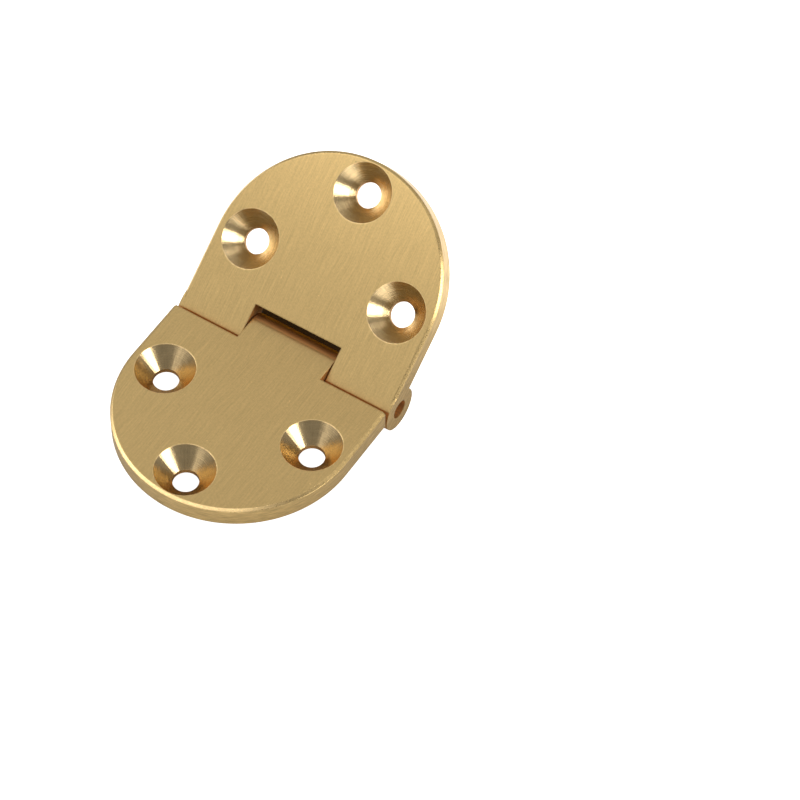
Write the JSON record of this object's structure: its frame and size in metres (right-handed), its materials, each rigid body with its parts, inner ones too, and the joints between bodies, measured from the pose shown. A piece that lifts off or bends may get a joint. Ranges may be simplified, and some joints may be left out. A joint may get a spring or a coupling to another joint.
{
  "type": "back flap hinge",
  "caption": "Solid brass round-end flap hinge: a leaf with ears and a leaf with a tongue turn on one pin, with countersunk screw holes on the flush side and the knuckle on the back.",
  "frame": {"origin": "centre of the tongue leaf's end screw hole, on the leaf's back", "axes": "+X along the hinge pin, +Y from the tongue leaf's round end towards the pin, +Z out of the tongue leaf's countersunk face"},
  "size_m": [0.038, 0.0589, 0.0252],
  "materials": {
    "leaf_brass": "fine brushed",
    "pin_brass": "drawn, dull"
  },
  "bodies": {
    "tongue_leaf": {"tongue_leaf": "leaf_brass"},
    "eared_leaf": {"eared_leaf": "leaf_brass", "hinge_pin": "pin_brass"}
  },
  "joints": [
    {"name": "leaf_fold", "type": "hinge", "parent": "tongue_leaf", "child": "eared_leaf", "pos_m": [0, 0.02855, 0], "axis": [1, 0, 0], "range_deg": [-215, 53]}
  ]
}
